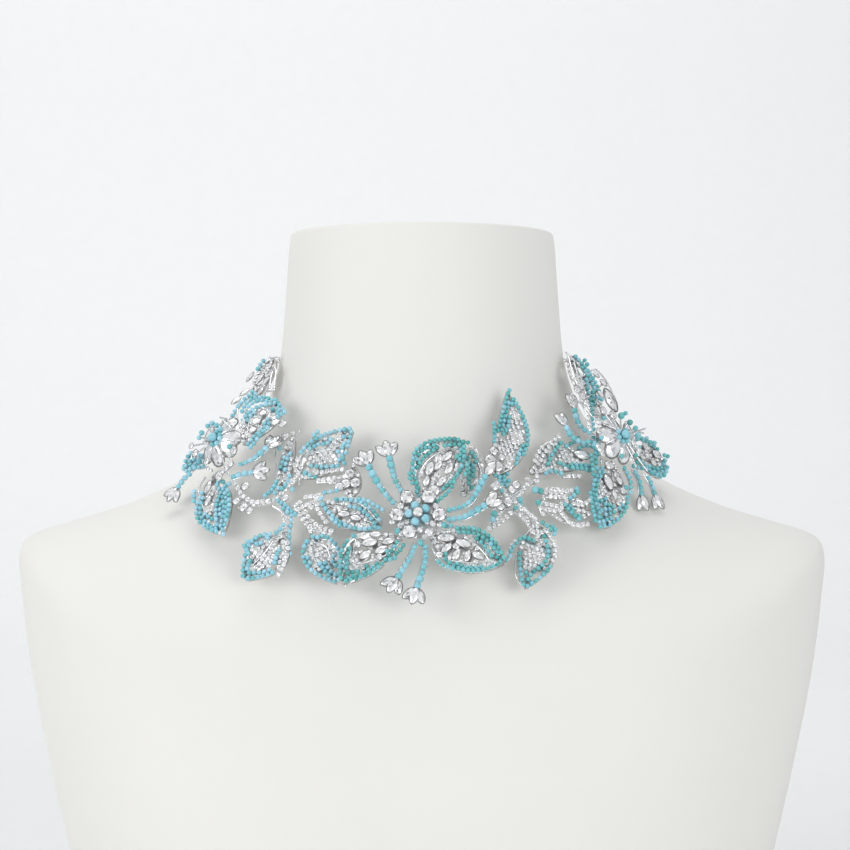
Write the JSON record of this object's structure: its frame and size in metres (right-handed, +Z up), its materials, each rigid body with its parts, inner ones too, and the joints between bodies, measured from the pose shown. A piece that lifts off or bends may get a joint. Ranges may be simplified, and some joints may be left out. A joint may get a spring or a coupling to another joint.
{
  "type": "choker necklace on a neck bust",
  "caption": "Floral choker necklace of silver leaves and flowers set with clear crystals and turquoise beads, shown on a plain white neck bust.",
  "frame": {"origin": "middle of the bust's flat base", "axes": "+Z up along the neck, -Y towards the front of the necklace, +X to the right as seen from the front"},
  "size_m": [0.3566, 0.2145, 0.3225],
  "materials": {
    "bust_white": "plain matt white painted surface",
    "silver_metal": "bright rhodium-plated cast metal",
    "crystal": "clear cut crystal with foiled back",
    "turquoise": "opaque turquoise beads with a soft polish, sky blue to green"
  },
  "bodies": {
    "root": {"neck_bust": "bust_white", "front_flower_hub": "silver_metal", "front_petal_upper": "silver_metal", "front_petal_right": "silver_metal", "front_petal_left": "silver_metal", "front_petal_flap": "silver_metal", "front_stamen_upper_left": "silver_metal", "front_stamen_upper": "silver_metal", "front_stamen_lower": "silver_metal", "front_stamen_bottom": "silver_metal", "front_stamen_right_upper": "silver_metal", "front_stamen_right": "silver_metal", "front_round_stone_1": "crystal", "front_round_stone_2": "crystal", "front_round_stone_3": "crystal", "front_round_stone_4": "crystal", "front_round_stone_5": "crystal", "front_centre_bead_1": "turquoise", "front_centre_bead_2": "turquoise", "front_centre_bead_3": "turquoise", "front_centre_bead_4": "turquoise", "front_centre_bead_5": "turquoise", "front_centre_stone": "crystal", "right_flower_centre": "silver_metal", "right_centre_bead": "turquoise", "left_flower_centre": "silver_metal", "left_centre_bead": "turquoise", "right_petal_upper": "silver_metal", "right_petal_outer": "silver_metal", "right_petal_lower": "silver_metal", "left_petal_upper": "silver_metal", "left_petal_outer": "silver_metal", "left_petal_lower": "silver_metal", "left_petal_back": "silver_metal", "right_stamen_upper": "silver_metal", "right_stamen_inner": "silver_metal", "right_stamen_lower": "silver_metal", "right_stamen_outer": "silver_metal", "left_stamen_outer": "silver_metal", "left_stamen_upper": "silver_metal", "left_stamen_inner": "silver_metal", "left_leaf_inner": "silver_metal", "left_bud_leaf": "silver_metal", "left_leaf_upper": "silver_metal", "left_leaf_narrow": "silver_metal", "left_leaf_lower": "silver_metal", "left_leaf_middle": "silver_metal", "right_leaf_upper": "silver_metal", "right_leaf_lower": "silver_metal", "right_leaf_pointed": "silver_metal", "right_leaf_forked": "silver_metal", "left_spray_stem": "silver_metal", "right_spray_stem": "silver_metal", "right_tendril": "silver_metal", "right_fork": "silver_metal", "right_back_chain": "silver_metal", "left_back_chain": "silver_metal", "clasp": "silver_metal"}
  },
  "joints": []
}
